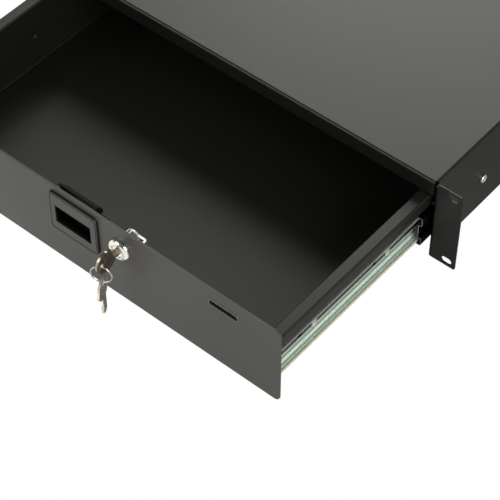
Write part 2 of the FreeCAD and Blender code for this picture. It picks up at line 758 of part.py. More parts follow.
def make_front_panel():
    """Plain front plate with an opening for the latch and one for the lock."""
    body = new_body("front_panel", 0, panel_back + drawer_shift, 0)
    sketch = new_sketch(body, "XZ_Plane")
    draw(sketch, box(-wall_outside, panel_bottom, wall_outside, panel_top, S.panel_corner))
    pad(body, sketch, S.panel_thickness)
    front = -S.panel_thickness

    def on_front_outline(one, other):
        return near(one.y, front) and near(other.y, front)

    round_edges(body, S.panel_edge, on_front_outline, "PartDesign::Chamfer")

    half = S.housing_width / 2 + S.housing_play
    sketch = new_sketch(body, "XZ_Plane")
    draw(sketch, box(-half, latch_centre - S.housing_below - S.housing_play, half,
                     latch_centre + S.housing_above + S.housing_play))
    flat = S.barrel_flat + S.barrel_play
    radius = S.barrel_radius + S.barrel_play
    rise = half_chord(radius, flat)
    path = [(S.lock_across + flat, lock_centre - rise),
            (S.lock_across + flat, lock_centre + rise, radius, 1),
            (S.lock_across - flat, lock_centre + rise),
            (S.lock_across - flat, lock_centre - rise, radius, 1)]
    draw(sketch, path)
    pocket(body, sketch, S.panel_thickness * 4, centred=True)


def make_latch_housing():
    """Latch body: a bezel on the panel's face and an open-topped box behind it."""
    body = new_body("latch_housing", 0, panel_back + drawer_shift, latch_centre)
    half = S.bezel_width / 2
    face = S.panel_thickness + S.bezel_proud
    sketch = new_sketch(body, "XZ_Plane", S.panel_thickness)
    draw(sketch, box(-half, -S.bezel_below, half, S.bezel_above, S.bezel_corner))
    pad(body, sketch, S.bezel_proud)

    def on_bezel_outline(one, other):
        return near(one.y, -face) and near(other.y, -face)

    round_edges(body, S.bezel_edge, on_bezel_outline)

    half = S.housing_width / 2
    sketch = new_sketch(body, "XZ_Plane", S.panel_thickness)
    draw(sketch, box(-half, -S.housing_below, half, S.housing_above))
    pad(body, sketch, S.panel_thickness + S.housing_depth, backwards=True)

    half = S.housing_width / 2 - S.housing_wall
    sketch = new_sketch(body, "XZ_Plane")
    draw(sketch, box(-half, -S.housing_below + S.housing_wall, half, S.bezel_above))
    pocket(body, sketch, S.housing_depth - S.housing_wall)

    half = S.window_width / 2
    sketch = new_sketch(body, "XZ_Plane", face)
    draw(sketch, box(-half, -S.window_height / 2, half, S.window_height / 2))
    pocket(body, sketch, face)

    left, right = bolt_span()
    notch = S.bolt_above - S.nose_height - S.latch_travel - S.slider_play
    sketch = new_sketch(body, "XZ_Plane")
    draw(sketch, box(left - S.slider_play, notch, right + S.slider_play, S.bezel_above))
    pocket(body, sketch, S.housing_depth)


def bolt_span():
    """Left and right ends of the latch bolt, which stands off centre in its housing."""
    half = S.bolt_width / 2
    return -half - S.bolt_shift, half - S.bolt_shift


def make_latch_slider():
    """Bolt and finger pull in one moulding, which slides down inside the housing."""
    body = new_body("latch_slider", 0, panel_back + drawer_shift, latch_centre)
    left, right = bolt_span()
    back = S.bolt_setback + S.plate_thickness
    foot = S.bolt_above - S.nose_height
    sketch = new_sketch(body, "XZ_Plane", -S.bolt_setback)
    draw(sketch, box(left, foot, right, S.bolt_above))
    pad(body, sketch, S.plate_thickness, backwards=True)

    half = S.plate_width / 2
    sketch = new_sketch(body, "XZ_Plane", -S.bolt_setback)
    draw(sketch, box(-half, -S.plate_below, half, foot))
    pad(body, sketch, S.plate_thickness, backwards=True)

    wide = S.housing_width / 2 - S.housing_wall - S.slider_play
    sketch = new_sketch(body, "XZ_Plane", -S.bolt_setback)
    seat = -S.spring_seat_above
    draw(sketch, box(-wide, seat, wide, seat + S.spring_seat_height))
    pad(body, sketch, S.plate_thickness, backwards=True)

    nose = [(back, foot), (back + S.nose_depth, foot),
            (back + S.nose_depth, S.bolt_above - S.nose_drop), (back, S.bolt_above)]
    sketch = new_sketch(body, "YZ_Plane", left)
    draw(sketch, nose)
    pad(body, sketch, S.bolt_width)

    front = S.bolt_setback - S.ledge_reach
    ledge_foot = -S.ledge_above
    sketch = new_sketch(body, "YZ_Plane")
    draw(sketch, rounded([(front, ledge_foot), (S.bolt_setback, ledge_foot),
                          (S.bolt_setback, ledge_foot + S.ledge_height),
                          (front, ledge_foot + S.ledge_height)],
                         [S.plate_thickness / 2, None, None, S.plate_thickness / 2]))
    pad(body, sketch, S.plate_width, centred=True)


def make_latch_springs():
    """Two compression springs that push the slider up."""
    foot = -S.housing_below + S.housing_wall
    seat = -S.spring_seat_above
    middle = S.bolt_setback + S.plate_thickness / 2
    across = (S.plate_width / 2 + S.housing_width / 2 - S.housing_wall) / 2
    body = new_body("latch_springs", 0, panel_back + drawer_shift + middle,
                    latch_centre + foot + S.spring_wire / 2)
    sketch = new_sketch(body, "XZ_Plane")
    bind(sketch, ".AttachmentOffset.Base.x", across)
    wire = S.spring_wire / 2
    draw(sketch, box(S.spring_radius - wire, -wire, S.spring_radius + wire, wire))
    coil = body.newObject("PartDesign::AdditiveHelix", "latch_springs_coil")
    coil.Profile = sketch
    coil.ReferenceAxis = (sketch, ["V_Axis"])
    coil.Mode = "height-turns-growth"
    bind(coil, "Height", seat - foot - S.spring_wire)
    bind(coil, "Turns", S.spring_turns)
    finish_feature(body, coil)
    pair = body.newObject("PartDesign::Mirrored", "latch_springs_pair")
    pair.Originals = [coil]
    pair.MirrorPlane = (origin_part(body, "YZ_Plane"), [""])
    finish_feature(body, pair)


def lock_body(label):
    """A body whose Y axis is the lock's own axis, with y = 0 on the panel's back."""
    return new_body(label, S.lock_across, panel_back + drawer_shift, lock_centre)


def make_lock_barrel():
    """Lock barrel: a rounded rim on the panel's face and a flat-sided barrel behind."""
    body = lock_body("lock_barrel")
    bore = S.plug_radius + S.plug_play
    front = -(S.panel_thickness + S.lock_rim_proud)
    rim = S.lock_rim_radius
    curve = S.lock_rim_round
    path = [(bore, front), (rim - curve, front, "bend"), (rim, front + curve),
            (rim, -S.panel_thickness), (S.barrel_radius, -S.panel_thickness),
            (S.barrel_radius, S.barrel_length), (bore, S.barrel_length)]
    sketch = new_sketch(body, "XY_Plane")
    draw(sketch, path)
    revolve(body, sketch, "V_Axis")
    sketch = new_sketch(body, "XY_Plane")
    for side, _name in SIDES:
        outside = S.lock_rim_radius
        draw(sketch, flip([(S.barrel_flat, -S.panel_thickness), (outside, -S.panel_thickness),
                           (outside, S.barrel_length), (S.barrel_flat, S.barrel_length)], side))
    pocket(body, sketch, S.lock_rim_radius * 2, centred=True)
    groove = S.barrel_flat - S.clip_groove
    sketch = new_sketch(body, "XY_Plane")
    for side, _name in SIDES:
        outside = S.lock_rim_radius
        draw(sketch, flip([(groove, 0), (outside, 0), (outside, S.clip_gauge + S.barrel_play),
                           (groove, S.clip_gauge + S.barrel_play)], side))
    pocket(body, sketch, S.lock_rim_radius * 2, centred=True)


def make_lock_clip():
    """Horseshoe clip that is pushed up into the barrel's grooves behind the panel."""
    body = lock_body("lock_clip")
    half = S.clip_half
    slot = S.barrel_flat - S.clip_groove + S.barrel_play
    seat = S.barrel_radius + S.barrel_play
    corners = [(-half, -S.clip_below), (half, -S.clip_below), (half, S.clip_above),
               (slot, S.clip_above), (slot, -seat), (-slot, -seat), (-slot, S.clip_above),
               (-half, S.clip_above)]
    radii = [S.clip_corner, S.clip_corner, S.clip_corner, None, None, None, None,
             S.clip_corner]
    sketch = new_sketch(body, "XZ_Plane")
    draw(sketch, rounded(corners, radii))
    pad(body, sketch, S.clip_gauge, backwards=True)


def make_lock_plug():
    """Lock plug: turns in the barrel, with a keyway in front and a square tail behind."""
    body = lock_body("lock_plug")
    front = -(S.panel_thickness + S.lock_rim_proud - S.plug_setback)
    back = S.barrel_length + S.plug_end
    path = [(0, front), (S.plug_radius, front), (S.plug_radius, back), (0, back)]
    sketch = new_sketch(body, "XY_Plane")
    draw(sketch, path)
    revolve(body, sketch, "V_Axis")
    half = S.tail_side / 2
    sketch = new_sketch(body, "XZ_Plane", -back)
    draw(sketch, box(-half, -half, half, half))
    pad(body, sketch, S.cam_thickness, backwards=True)
    wide = S.key_thickness / 2 + S.blade_play
    tall = S.blade_height / 2 + S.blade_play
    sketch = new_sketch(body, "XZ_Plane", -front)
    draw(sketch, box(-wide, -tall, wide, tall))
    pocket(body, sketch, S.blade_length + S.blade_play)
    sketch = new_sketch(body, "XZ_Plane", -back - S.cam_thickness)
    draw_circle(sketch, 0, 0, S.screw_radius + S.screw_play)
    pocket(body, sketch, S.cam_screw_length + S.tail_play, backwards=True)


def make_lock_cam():
    """Cam of the lock: a flat arm with its end bent forwards."""
    body = lock_body("lock_cam")
    front = S.barrel_length + S.plug_end
    back = front + S.cam_thickness
    line = [(0, back), (S.cam_reach, back), (S.cam_reach, back - S.cam_lip)]
    sketch = new_sketch(body, "XY_Plane")
    draw(sketch, folded(line, S.cam_thickness, S.cam_bend, -1))
    pad(body, sketch, S.cam_width, centred=True)
    sketch = new_sketch(body, "XZ_Plane", -front)
    draw_circle(sketch, 0, 0, S.cam_hub)
    pad(body, sketch, S.cam_thickness, backwards=True)
    half = S.tail_side / 2 + S.tail_play
    sketch = new_sketch(body, "XZ_Plane", -front)
    draw(sketch, box(-half, -half, half, half))
    pocket(body, sketch, S.cam_thickness)


def make_cam_screw():
    """Screw in the plug's tail that holds the cam."""
    back = S.barrel_length + S.plug_end + S.cam_thickness
    body = new_body("cam_screw", S.lock_across, panel_back + drawer_shift + back, lock_centre)
    section = screw_section(1, S.cam_screw_length, chassis_screw)
    sketch = new_sketch(body, "XY_Plane")
    draw(sketch, [(radius, along) for along, radius in section])
    revolve(body, sketch, "V_Axis")


def make_key(label):
    """A flat key. Its blade points along +Y from the shoulder at y = 0."""
    body = new_body(label)
    rise = S.blade_height / 2
    bow_centre = -(S.key_shoulder + S.key_bow)
    sketch = new_sketch(body, "YZ_Plane")
    draw_circle(sketch, bow_centre, 0, S.key_bow)
    pad(body, sketch, S.key_thickness, centred=True)
    sketch = new_sketch(body, "YZ_Plane")
    end = S.blade_length
    draw(sketch, [(-(S.key_shoulder * 2), -rise), (end - S.blade_tip, -rise),
                  (end, -rise + S.blade_tip), (end, rise - S.blade_tip),
                  (end - S.blade_tip, rise), (-(S.key_shoulder * 2), rise)])
    pad(body, sketch, S.key_thickness, centred=True)
    sketch = new_sketch(body, "YZ_Plane")
    half = S.bitting_width / 2
    first = S.bitting_first
    draw(sketch, [(first - half, -rise), (first + half, -rise), (first, -rise + S.bitting_depth)])
    cut = pocket(body, sketch, centred=True)
    repeat(body, [cut], "Y_Axis", S.bitting_pitch, BITTING_CUTS)
    sketch = new_sketch(body, "YZ_Plane")
    draw_circle(sketch, bow_centre - S.key_hole_offset, 0, S.key_hole)
    pocket(body, sketch, centred=True)
    return body


plug_face = -(S.panel_thickness + S.lock_rim_proud - S.plug_setback)
key_seat = panel_back + drawer_shift + plug_face
key_hole_along = key_seat - S.key_shoulder - S.key_bow - S.key_hole_offset
wire_below_hole = S.key_hole - S.ring_wire / 2 - S.ring_play
ring_top = lock_centre - wire_below_hole
ring_centre = ring_top - S.ring_radius
ring_bottom = ring_centre - S.ring_radius
spare_hole_level = ring_bottom - wire_below_hole
spare_shoulder_drop = S.key_shoulder + S.key_bow + S.key_hole_offset


def make_keys():
    """The key in the lock, the ring through its bow and the spare key on the ring."""
    key = make_key("key")
    place(key, S.lock_across, key_seat, lock_centre)
    yaw = FreeCAD.Rotation(FreeCAD.Vector(0, 0, 1), S.ring_yaw.value)
    spare = make_key("spare_key")
    spare.Placement.Rotation = yaw * FreeCAD.Rotation(FreeCAD.Vector(1, 0, 0), -90)
    place(spare, S.lock_across, key_hole_along, spare_hole_level - spare_shoulder_drop)
    ring = new_body("key_ring")
    ring.Placement.Rotation = yaw
    place(ring, S.lock_across, key_hole_along, ring_centre)
    sketch = new_sketch(ring, "XZ_Plane")
    draw_circle(sketch, 0, 0, S.ring_radius + S.ring_wire / 2)
    draw_circle(sketch, 0, 0, S.ring_radius - S.ring_wire / 2)
    pad(ring, sketch, S.ring_width, centred=True)


def check_and_export():
    """Checks every object and sub-part, then writes one STEP file for each sub-part."""
    doc.recompute()
    for item in doc.Objects:
        if "Invalid" in item.State or "Error" in item.State:
            raise ValueError(f"{item.Name} failed: {item.State}")
    os.makedirs("parts", exist_ok=True)
    for name, piece in pieces.items():
        if piece.Shape.isNull() or not piece.Shape.isValid():
            raise ValueError(f"{name} has no valid shape")
    for name, piece in pieces.items():
        piece.Shape.exportStep(os.path.join("parts", f"{name}.step"))
        print(f"{name}: {len(piece.Shape.Solids)} solids, {piece.Shape.Volume:.1f} mm3")


make_chassis_shell()
make_rear_panel()
make_rear_screws()
for side_sign, side_name in SIDES:
    make_slide_outer(side_sign, side_name)
    make_slide_bumper(side_sign, side_name)
    make_screw_row(f"outer_screws_{side_name}", side_sign, wall_outside,
                   S.outer_screw_first, S.chassis_wall + S.slide_gauge, chassis_screw,
                   outer_screw_pitch, OUTER_SCREWS)
    make_slide_inner(side_sign, side_name)
    make_screw_row(f"inner_screws_{side_name}", side_sign,
                   tray_outside + S.slide_gauge + S.rib_height, S.inner_screw_first,
                   S.slide_gauge + S.rib_height + S.tray_wall, drawer_screw,
                   inner_screw_pitch, INNER_SCREWS, drawer_shift)
    make_cage(side_sign, side_name)
    make_balls(side_sign, side_name)
make_tray()
make_front_panel()
make_latch_housing()
make_latch_slider()
make_latch_springs()
make_lock_barrel()
make_lock_clip()
make_lock_plug()
make_lock_cam()
make_cam_screw()
make_keys()
check_and_export()
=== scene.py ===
import math

import bpy
import numpy as np
from mathutils import Matrix, Vector


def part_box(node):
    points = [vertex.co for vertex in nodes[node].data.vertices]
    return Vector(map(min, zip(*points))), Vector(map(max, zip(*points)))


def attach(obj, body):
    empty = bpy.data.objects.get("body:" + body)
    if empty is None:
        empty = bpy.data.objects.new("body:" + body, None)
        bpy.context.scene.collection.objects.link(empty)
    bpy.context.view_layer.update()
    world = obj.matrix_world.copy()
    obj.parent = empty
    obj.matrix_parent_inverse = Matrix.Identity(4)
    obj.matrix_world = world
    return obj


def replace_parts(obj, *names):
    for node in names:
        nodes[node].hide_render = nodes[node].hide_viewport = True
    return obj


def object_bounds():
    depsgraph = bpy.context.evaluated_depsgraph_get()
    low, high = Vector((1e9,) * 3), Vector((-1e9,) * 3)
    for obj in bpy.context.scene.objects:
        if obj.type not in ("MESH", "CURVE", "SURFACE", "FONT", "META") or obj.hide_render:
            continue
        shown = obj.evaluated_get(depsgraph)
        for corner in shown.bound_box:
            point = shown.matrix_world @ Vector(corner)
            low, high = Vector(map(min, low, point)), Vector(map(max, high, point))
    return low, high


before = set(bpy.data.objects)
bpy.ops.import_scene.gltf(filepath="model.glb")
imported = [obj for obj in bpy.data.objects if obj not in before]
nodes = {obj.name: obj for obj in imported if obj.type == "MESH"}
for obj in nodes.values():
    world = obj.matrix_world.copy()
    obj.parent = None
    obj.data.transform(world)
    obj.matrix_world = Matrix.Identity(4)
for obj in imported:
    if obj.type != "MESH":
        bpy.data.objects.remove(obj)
cad_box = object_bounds()

# Sliding rack drawer: powder-coated sheet steel, zinc-plated slides, a moulded latch and a
# chromed cam lock with its keys. Metres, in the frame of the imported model: X across the
# rack, +Y into the rack, +Z up, origin at the centre of the rack slots.

MM = 0.001
SIDES = (("left", -1), ("right", 1))


# --- materials -----------------------------------------------------------------------

# The grain of each finish, how deep it is pressed in, and how far it is drawn out.
SHADE_DRIFT = 90 * MM
PEBBLE, PEBBLE_DEPTH = 0.9 * MM, 0.012 * MM
SPARK, SPARK_DEPTH = 0.5 * MM, 0.006 * MM
MARKS, MARKS_DEPTH = 1.6 * MM, 0.006 * MM
SHEET_MARKS, SHEET_DEPTH = 1.5 * MM, 0.004 * MM
TARNISH = 5 * MM
ROLLED_STREAK, STREAK_STRETCH = 5 * MM, (1, 0.015, 1)
ROLLED_LINE, LINE_STRETCH = 1.2 * MM, (1, 0.01, 1)
# Zinc: how far below the rail's top its bands start and end, how much faster they run out
# along the foot than down the web, how much they waver, and each one's place and tone.
# The bands are painted shade and painted reflections, tinted like the passivation.
BAND_START = 16.5 * MM
BAND_END = 46.5 * MM
BAND_SLOPE = 1.8
BAND_WAVER = 0.08
TINT_AND_PAINTED_LIGHT_BANDS = ((0.00, "a8b0ac"), (0.06, "262826"), (0.17, "262826"), (0.25, "d8e2dc"),
         (0.33, "74827a"), (0.43, "c8dad2"), (0.53, "f6fdf8"), (0.61, "8fa49c"),
         (0.72, "dce8da"), (0.80, "94967a"), (0.86, "fffbe8"), (0.95, "fffae2"),
         (1.00, "8a8a7c"))
ZINC_METALLIC = 0.50
# Sheared sheet: how squarely a face has to look along the rail to be bare.
BARE_FROM, BARE_FULL = 0.90, 0.97
# Moulded plastic: the near black painted as shade behind a plane, and the depth over which
# it sets in.
PAINTED_SHADE_BLACK = 0.0012
PAINTED_SHADE_EDGE = 1 * MM


def srgb(code):
    """Linear colour of an sRGB hex code such as 5c5c5b."""
    values = np.array([int(code[i:i + 2], 16) for i in (0, 2, 4)]) / 255
    linear = np.where(values <= 0.04045, values / 12.92, ((values + 0.055) / 1.055) ** 2.4)
    return (*linear.tolist(), 1.0)


def grey(level):
    """An opaque linear grey."""
    return (level, level, level, 1.0)


def add(tree, kind, settings):
    """Adds a node. A setting is a property, the value of an input, or the socket that an
    input is linked to."""
    node = tree.nodes.new(kind)
    for name, value in settings.items():
        if isinstance(value, bpy.types.NodeSocket):
            tree.links.new(value, node.inputs[name])
        elif isinstance(name, str) and hasattr(node, name):
            setattr(node, name, value)
        else:
            node.inputs[name].default_value = value
    return node


def material(name):
    """An empty material, its node tree and its object coordinates."""
    made = bpy.data.materials.new(name)
    made.use_nodes = True
    made.node_tree.nodes.clear()
    place = add(made.node_tree, "ShaderNodeTexCoord", {}).outputs["Object"]
    return made, made.node_tree, place


def compute(tree, operation, *terms):
    """The result of a maths node. Its terms are numbers or sockets."""
    node = add(tree, "ShaderNodeMath", {"operation": operation, **dict(enumerate(terms))})
    return node.outputs[0]


def component(tree, vector, axis):
    """One axis of a vector."""
    return add(tree, "ShaderNodeSeparateXYZ", {0: vector}).outputs[axis]


def between(tree, value, low, high, start=0.0, end=1.0):
    """A number that goes from start to end as a value goes from low to high."""
    node = add(tree, "ShaderNodeMapRange", {"Value": value, "From Min": low,
                                            "From Max": high, "To Min": start,
                                            "To Max": end})
    return node.outputs["Result"]


def mixed_colour(tree, share, first, second):
    """A first colour that gives way to a second one. Each is a colour or a socket."""
    node = add(tree, "ShaderNodeMix", {"data_type": "RGBA", 0: share, 6: first, 7: second})
    return node.outputs[2]


def ramp(tree, factor, stops):
    """A colour ramp with (position, colour) stops."""
    node = add(tree, "ShaderNodeValToRGB", {"Fac": factor})
    elements = node.color_ramp.elements
    while len(elements) < len(stops):
        elements.new(0.5)
    for element, (position, colour) in zip(elements, stops):
        element.position = position
        element.color = colour
    return node.outputs["Color"]


def noise(tree, place, grain, detail=2.0, stretch=(1, 1, 1)):
    """Noise whose lumps are grain metres across, drawn out along the axes of stretch."""
    scaled = add(tree, "ShaderNodeMapping", {"Vector": place, "Scale": stretch})
    node = add(tree, "ShaderNodeTexNoise", {"Vector": scaled.outputs["Vector"],
                                            "Scale": 1 / grain, "Detail": detail})
    return node.outputs["Fac"]


def bump(tree, height, depth):
    """A bump this many metres deep."""
    node = add(tree, "ShaderNodeBump", {"Height": height, "Distance": depth})
    return node.outputs["Normal"]


def surfaced(made, tree, settings):
    """Ends a material with a principled shader of these settings."""
    shader = add(tree, "ShaderNodeBsdfPrincipled", settings)
    add(tree, "ShaderNodeOutputMaterial", {"Surface": shader.outputs["BSDF"]})
    return made


def powder_coat(name, dark, light, gloss):
    """Baked powder coat: semi-matt, with the fine pebble of melted grains, a slow drift
    of shade over a panel and slightly uneven gloss."""
    made, tree, place = material(name)
    drift = noise(tree, place, SHADE_DRIFT, 3.0)
    colour = ramp(tree, drift, [(0.35, srgb(dark)), (0.65, srgb(light))])
    pebble = noise(tree, place, PEBBLE)
    rough = ramp(tree, pebble, [(0.3, grey(gloss - 0.03)), (0.7, grey(gloss + 0.04))])
    return surfaced(made, tree, {"IOR": 1.5, "Base Color": colour, "Roughness": rough,
                                 "Normal": bump(tree, pebble, PEBBLE_DEPTH)})


def zinc_plate(name, foot, top):
    """Zinc plating with a clear to yellow passivation on a rolled rail whose web starts
    this far from the middle plane and whose top is at this height. The bands follow the
    section from the web down and out along the foot: a painted shade under the top
    flange, then painted highlights and reflections over the web and the foot, in the
    passivation's blue-green and straw. They waver a little with the long streaks of cold
    rolling."""
    made, tree, place = material(name)
    outward = compute(tree, "ABSOLUTE", component(tree, place, "X"))
    sloped = compute(tree, "MULTIPLY_ADD", outward, BAND_SLOPE, top - BAND_SLOPE * foot)
    below = compute(tree, "SUBTRACT", sloped, component(tree, place, "Z"))
    run = between(tree, below, BAND_START, BAND_END)
    streak = noise(tree, place, ROLLED_STREAK, stretch=STREAK_STRETCH)
    waver = compute(tree, "MULTIPLY_ADD", streak, BAND_WAVER, -BAND_WAVER / 2)
    # The ramp paints shade under the flange and reflections down the web into the colour.
    colour = ramp(tree, compute(tree, "ADD", run, waver),
                  [(stop, srgb(tone)) for stop, tone in TINT_AND_PAINTED_LIGHT_BANDS])
    lines = noise(tree, place, ROLLED_LINE, stretch=LINE_STRETCH)
    rough = ramp(tree, lines, [(0.3, grey(0.24)), (0.7, grey(0.32))])
    return surfaced(made, tree, {"Metallic": ZINC_METALLIC, "Base Color": colour,
                                 "Roughness": rough})


def sheared_sheet(name, tone, cut, low, high):
    """Blackened sheet steel: dark and satin on its faces, bare and bright on the sheared
    ends that face along the rail, where the blanking tool cut through the finish."""
    made, tree, place = material(name)
    facing = add(tree, "ShaderNodeTexCoord", {}).outputs["Normal"]
    along = compute(tree, "ABSOLUTE", component(tree, facing, "Y"))
    bare = between(tree, along, BARE_FROM, BARE_FULL)
    colour = mixed_colour(tree, bare, srgb(tone), srgb(cut))
    marks = noise(tree, place, SHEET_MARKS, 3.0)
    rough = ramp(tree, marks, [(0.35, grey(low)), (0.70, grey(high))])
    return surfaced(made, tree, {"Metallic": 1.0, "Base Color": colour, "Roughness": rough,
                                 "Normal": bump(tree, marks, SHEET_DEPTH)})


def moulded(name, dark, light, gloss, index=1.5, inside=1.0):
    """Injection-moulded plastic: even satin with fine spark texture. The lower its
    refractive index, the blacker it stays beside a bright floor. Behind the inside plane
    its colour goes to a painted shade of near black, which darkens the inside of the bezel."""
    made, tree, place = material(name)
    spark = noise(tree, place, SPARK)
    colour = ramp(tree, spark, [(0.4, srgb(dark)), (0.6, srgb(light))])
    painted_shade = between(tree, component(tree, place, "Y"), inside, inside + PAINTED_SHADE_EDGE)
    tone = mixed_colour(tree, painted_shade, colour, grey(PAINTED_SHADE_BLACK))
    rough = ramp(tree, spark, [(0.4, grey(gloss)), (0.6, grey(gloss + 0.05))])
    return surfaced(made, tree, {"IOR": index, "Base Color": tone, "Roughness": rough,
                                 "Normal": bump(tree, spark, SPARK_DEPTH)})


def plated(name, tone, worn, low, high):
    """Plated metal: one bright tone that dulls in patches, with fine handling marks that
    vary its roughness from low to high."""
    made, tree, place = material(name)
    patch = noise(tree, place, TARNISH, 3.0)
    colour = ramp(tree, patch, [(0.40, srgb(tone)), (0.70, srgb(worn))])
    marks = noise(tree, place, MARKS, 3.0)
    rough = ramp(tree, marks, [(0.35, grey(low)), (0.70, grey(high))])
    return surfaced(made, tree, {"Metallic": 1.0, "Base Color": colour, "Roughness": rough,
                                 "Normal": bump(tree, marks, MARKS_DEPTH)})


rail_low, rail_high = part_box("slide_inner_right")
# Behind this plane the latch housing is painted near black, as painted shade.
BEZEL_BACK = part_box("latch_housing")[0].y + 0.6 * MM
# One black powder coat in three tones: the chassis and the tray are painted darker as shade,
# and the panel lighter as painted light.
CHASSIS_SHADED_COAT = powder_coat("powder_coat_chassis_painted_shade", "0a0a09", "0c0c0b", 0.42)
TRAY_SHADED_COAT = powder_coat("powder_coat_tray_painted_shade", "0c0c09", "0e0e0b", 0.47)
PANEL_LIT_COAT = powder_coat("powder_coat_panel_painted_light", "373735", "3c3c39", 0.43)
RAIL_ZINC = zinc_plate("zinc_plated_rail", rail_low.x, rail_high.z)
CAGE_STEEL = sheared_sheet("blackened_cage_steel", "1e1e1e", "9a9a96", 0.30, 0.42)
BALL_STEEL = plated("polished_bearing_steel", "d8d8dc", "c4c4c8", 0.06, 0.12)
BLACK_SCREW = plated("black_oxide_screw", "2a2a2a", "3a3a3a", 0.30, 0.42)
ZINC_SCREW = plated("zinc_plated_screw", "f6f6f2", "e4e4de", 0.30, 0.42)
LATCH_GREY = moulded("moulded_latch", "2c2c2b", "313130", 0.36, inside=BEZEL_BACK)
BLACK_MOULD = moulded("black_moulded_plastic", "060606", "090909", 0.50, index=1.3)
CHROME = plated("chrome_plated_lock", "f2f2f0", "e6e6e4", 0.05, 0.10)
LOCK_ZINC = plated("zinc_plated_lock_parts", "f6f6f2", "e8e8e4", 0.40, 0.50)
# The two keys are one nickel plate in two tones: the key in the lock a darker brown-grey,
# the spare key lighter, as painted light that stands in for what it catches.
KEY_NICKEL_DARKER = plated("nickel_key_in_lock", "b0a698", "8f8474", 0.20, 0.34)
SPARE_NICKEL_PAINTED_LIGHT = plated("nickel_spare_key_painted_light", "fff8f0", "ece4da", 0.36, 0.50)
RING_STEEL = plated("nickel_plated_ring", "dcd8cc", "bcb7aa", 0.16, 0.26)
SPRING_STEEL = plated("spring_steel", "9c9c9c", "848484", 0.20, 0.32)
BADGE_EDGE = plated("bright_badge_edge", "a8a8a4", "949490", 0.24, 0.34)
BADGE_ENAMEL = moulded("matt_badge_enamel", "0c0c0c", "101010", 0.70, index=1.15)
BEAD_MOULD = moulded("polished_bezel_bead", "161616", "1a1a1a", 0.20)

FINISH = {"chassis_shell": CHASSIS_SHADED_COAT, "rear_panel": CHASSIS_SHADED_COAT,
          "drawer_tray": TRAY_SHADED_COAT, "front_panel": PANEL_LIT_COAT,
          "latch_housing": LATCH_GREY, "latch_slider": BLACK_MOULD,
          "latch_springs": SPRING_STEEL, "lock_barrel": CHROME, "lock_plug": CHROME,
          "lock_clip": LOCK_ZINC, "lock_cam": LOCK_ZINC, "cam_screw": ZINC_SCREW,
          "key": KEY_NICKEL_DARKER, "spare_key": SPARE_NICKEL_PAINTED_LIGHT, "key_ring": RING_STEEL}
for side_name, _sign in SIDES:
    FINISH[f"slide_outer_{side_name}"] = RAIL_ZINC
    FINISH[f"slide_inner_{side_name}"] = RAIL_ZINC
    FINISH[f"ball_cage_{side_name}"] = CAGE_STEEL
    FINISH[f"slide_balls_{side_name}"] = BALL_STEEL
    FINISH[f"slide_bumper_{side_name}"] = BLACK_MOULD
    FINISH[f"outer_screws_{side_name}"] = ZINC_SCREW
    FINISH[f"rear_screws_{side_name}"] = BLACK_SCREW
    FINISH[f"inner_screws_{side_name}"] = ZINC_SCREW

for node_name, finish in FINISH.items():
    nodes[node_name].data.materials.clear()
    nodes[node_name].data.materials.append(finish)


# --- new pieces ----------------------------------------------------------------------

# Small trim on the solids, in metres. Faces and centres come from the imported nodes. A skin
# keeps each piece clear of the face it sits on. Insets run inward from a piece's outline,
# and rises forward from the face it sits on.
PANEL_FACE, PANEL_BACK = (corner.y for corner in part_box("front_panel"))
SKIN = 0.02 * MM
OUTLINE_POINTS = 48

BADGE_CENTRE = (158.9 * MM, 26.9 * MM)
BADGE_SIZE = (30.0 * MM, 6.4 * MM)
EDGE_INSETS = (0, 0, 0.12 * MM, 0.4 * MM, 0.45 * MM)
EDGE_RISES = (SKIN, 0.5 * MM, 0.65 * MM, 0.65 * MM, 0.5 * MM)
ENAMEL_INSETS = (0.47 * MM, 0.47 * MM, 0.6 * MM)
ENAMEL_RISES = (0.52 * MM, 0.66 * MM, 0.70 * MM)

BEZEL_SIZE = (53.4 * MM, 43.7 * MM)
BEZEL_CORNER = 5.0 * MM
BEAD_INSET = 0.9 * MM
BEAD_WIDTH = 1.3 * MM
BEAD_RISE = 0.45 * MM
BEAD_POINTS = 9

# The dome's radii, how far its crown and its skirt rise from the panel, and the rises at
# which its bore and its rim start and end.
LOCK_RIM = 11.0 * MM
LOCK_BORE = 6.35 * MM
LOCK_RISE = 4.4 * MM
DOME_SKIRT = 0.4 * MM
DOME_FULLNESS = 0.9
DOME_BORE_RISES = (2.6 * MM, 3.6 * MM)
DOME_RIM_RISES = (0.25 * MM, SKIN)
DOME_POINTS = 14
DOME_TURN = 64

# The wire's half height and half width. In radians round the ring: half of the crossing,
# and how much further each end stops short of it.
WIRE_HIGH = 0.5 * MM
WIRE_WIDE = 0.35 * MM
WIRE_POINTS = 12
RING_CROSSING = 0.45
RING_GAP = 0.1
RING_YAW = math.radians(25)
RING_STATIONS = 160

# The grip's section, from one lower edge over the top to the other, as shares of its depth
# and thickness, and which way each point draws in at the ends.
BOLT_FRONT = PANEL_BACK + 7.9 * MM
BOLT_RIGHT = 15.8 * MM
GRIP_LENGTH = 42.7 * MM
GRIP_DEPTH = 2.6 * MM
GRIP_THICK = 0.6 * MM
GRIP_PITCH = 1.3 * MM
GRIP_VALLEY = 0.55
GRIP_DRAWN_IN = 0.3 * MM
GRIP_END = 0.4 * MM
GRIP_STATIONS = 197
SECTION_ACROSS = np.array([0, 0, 0.25, 0.75, 1, 1])
SECTION_UP = np.array([0, 0.6, 1, 1, 0.6, 0])
SECTION_INWARD = np.array([1, 1, 0, 0, -1, -1])

